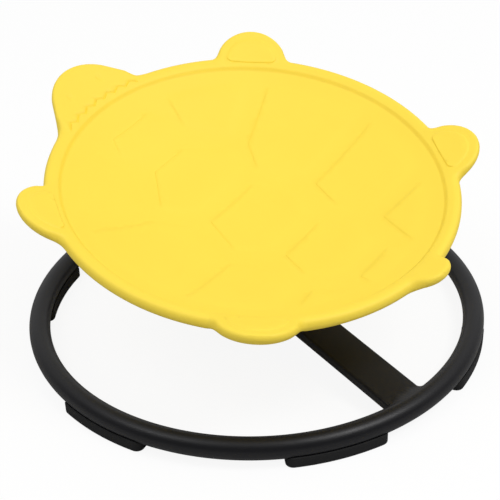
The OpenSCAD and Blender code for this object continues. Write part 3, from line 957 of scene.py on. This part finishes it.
def socket_screw(head_r, head_h, socket_r, shank_r, shank_len):
    """A round-headed screw with a hexagon socket, its head down and its seat at zero."""
    ring = circle(1.0, SCREW_SIDES)
    sixth = math.pi / 3
    turns = np.arange(SCREW_SIDES) * 2 * math.pi / SCREW_SIDES
    reach = socket_r * math.cos(sixth / 2) / np.cos((turns + sixth / 2) % sixth - sixth / 2)
    hexagon = ring * reach[:, None]
    rows = [(ring * shank_r, shank_len), (ring * shank_r, 0)]
    rows += [(ring * (head_r - SCREW_EDGE), 0), (ring * head_r, -SCREW_EDGE)]
    for a in np.linspace(0, math.pi / 2, HEAD_ROWS)[1:]:
        r = head_r - HEAD_ROUND_SHARE * head_r * (1 - math.cos(a))
        rows.append((ring * r, -SCREW_EDGE - (head_h - SCREW_EDGE) * math.sin(a)))
    rows += [(hexagon, -head_h), (hexagon * SOCKET_TAPER, -head_h * SOCKET_FLOOR_SHARE)]
    return sweep([np.column_stack([plan, np.full(SCREW_SIDES, height)]) for plan, height in rows])


def make_fasteners():
    screw, bolt = socket_screw(*FOOT_SCREW), socket_screw(*SEAT_BOLT)
    screws = []
    for angle in PAD_ANGLES:
        for side in (-1, 1):
            turn = math.radians(angle) + side * PAD_SCREW_GAP / 2 / RING_R
            spot = Matrix.Translation((RING_R * math.cos(turn), RING_R * math.sin(turn), SCREW_RECESS))
            screws.append(placed(screw, spot @ Matrix.Rotation(turn, 4, "Z")))
    piece("foot_screw_set", *joined(screws), ZINC, "base", "zinc_steel", ["foot_screws"])
    seat_z = FLANGE_Z - FLANGE_T - WASHER_T
    bolts = [placed(bolt, Matrix.Translation((x, y, seat_z))) for x, y in BOLT_PLACES]
    piece("seat_bolt_set", *joined(bolts), ZINC, "seat", "zinc_steel", ["seat_bolts"], SEAT)


make_seat()
make_ring()
make_bar()
make_bar_welds()
make_boss_weld()
make_pads()
make_fasteners()


# Studio

def studio_floor():
    # Pale matt floor: white where the camera sees it, with the object's own soft shadow. It throws back less light
    # than it shows, so that the undersides of the seat and tube stay dark.
    mesh = bpy.data.meshes.new("studio_floor")
    rim = circle(FLOOR_R, FLOOR_POINTS)
    mesh.from_pydata([(x * MM, y * MM, 0) for x, y in rim], [], [tuple(range(FLOOR_POINTS))])
    floor = bpy.data.objects.new("studio_floor", mesh)
    bpy.context.scene.collection.objects.link(floor)
    material = bpy.data.materials.new("studio_floor_matt_white")
    material.use_nodes = True
    tree = material.node_tree
    tree.nodes.clear()
    seen = (add(tree, "ShaderNodeLightPath"), "Is Camera Ray")
    share = add(tree, "ShaderNodeMath", {1: FLOOR_WHITE}, {0: seen}, operation="MULTIPLY")
    greys = {"Color1": linear("#B8B8B8"), "Color2": linear("#FAFAFA")}
    shade = add(tree, "ShaderNodeMixRGB", greys, {"Fac": seen})
    paint = add(tree, "ShaderNodeBsdfDiffuse", None, {"Color": (shade, "Color")})
    white = add(tree, "ShaderNodeEmission", {"Color": WHITE, "Strength": 1.0})
    parts = {0: (share, "Value"), 1: (paint, "BSDF"), 2: (white, "Emission")}
    mixed = add(tree, "ShaderNodeMixShader", None, parts)
    add(tree, "ShaderNodeOutputMaterial", None, {"Surface": (mixed, "Shader")})
    mesh.materials.append(material)


def studio_world():
    # An even room, white where the camera sees it. Reflections show a pale backdrop behind and above the seat, and
    # a darker room on the other side.
    world = bpy.data.worlds.new("studio_world")
    bpy.context.scene.world = world
    world.use_nodes = True
    tree = world.node_tree
    tree.nodes.clear()
    path = add(tree, "ShaderNodeLightPath")
    rays = {0: (path, "Is Camera Ray"), 1: (path, "Is Transmission Ray")}
    seen = add(tree, "ShaderNodeMath", None, rays, operation="MAXIMUM")
    place = add(tree, "ShaderNodeTexCoord")
    back = Vector((*heading(VIEW_TURN + 90), BACKDROP_RISE)).normalized()
    facing = add(tree, "ShaderNodeVectorMath", {1: back}, {0: (place, "Generated")}, operation="DOT_PRODUCT")
    ends = ("From Min", "From Max", "To Min", "To Max")
    levels = dict(zip(ends, (*BACKDROP_FACING, *BACKDROP_LEVELS)))
    backdrop = add(tree, "ShaderNodeMapRange", levels, {"Value": (facing, "Value")})
    mirrored = {"Value": (path, "Is Glossy Ray"), "To Max": (backdrop, "Result")}
    room = add(tree, "ShaderNodeMapRange", {"To Min": ROOM_LEVEL}, mirrored)
    level = add(tree, "ShaderNodeMath", None, {0: (room, "Result"), 1: (seen, "Value")}, operation="MAXIMUM")
    sky = add(tree, "ShaderNodeBackground", {"Color": WHITE}, {"Strength": (level, "Value")})
    add(tree, "ShaderNodeOutputWorld", None, {"Surface": (sky, "Background")})


def view_axes():
    """The camera's right, up and back directions, from the photograph's viewing angle."""
    height, roll, turn = (math.radians(a) for a in (VIEW_HEIGHT, VIEW_ROLL, VIEW_TURN))
    ahead = Vector((0, math.cos(height), -math.sin(height)))
    level, down = Vector((1, 0, 0)), Vector((0, -math.sin(height), -math.cos(height)))
    right = math.cos(roll) * level + math.sin(roll) * down
    below = -math.sin(roll) * level + math.cos(roll) * down
    turned = Matrix.Rotation(turn, 3, "Z")
    return turned @ right, turned @ -below, turned @ -ahead


def studio_camera():
    right, above, back = view_axes()
    data = bpy.data.cameras.new("camera")
    data.lens = LENS
    data.sensor_width = SENSOR_W
    camera = bpy.data.objects.new("camera", data)
    place = (VIEW_RIGHT * right + VIEW_UP * above + VIEW_BACK * back + Vector((0, 0, RING_H))) * MM
    camera.matrix_world = Matrix.Translation(place) @ Matrix((right, above, back)).transposed().to_4x4()
    bpy.context.scene.collection.objects.link(camera)
    bpy.context.scene.camera = camera


def softbox(name, place, power):
    """A square lamp that faces the seat."""
    data = bpy.data.lights.new(name, "AREA")
    data.shape = "SQUARE"
    data.size = LAMP_W * MM
    data.energy = power
    lamp = bpy.data.objects.new(name, data)
    lamp.location = Vector(place) * MM
    lamp.rotation_euler = (Vector((0, 0, LAMP_AIM)) - Vector(place)).to_track_quat("-Z", "Y").to_euler()
    bpy.context.scene.collection.objects.link(lamp)


studio_floor()
studio_world()
studio_camera()
for lamp in LAMPS:
    softbox(*lamp)
bpy.context.scene.view_settings.view_transform = "Standard"
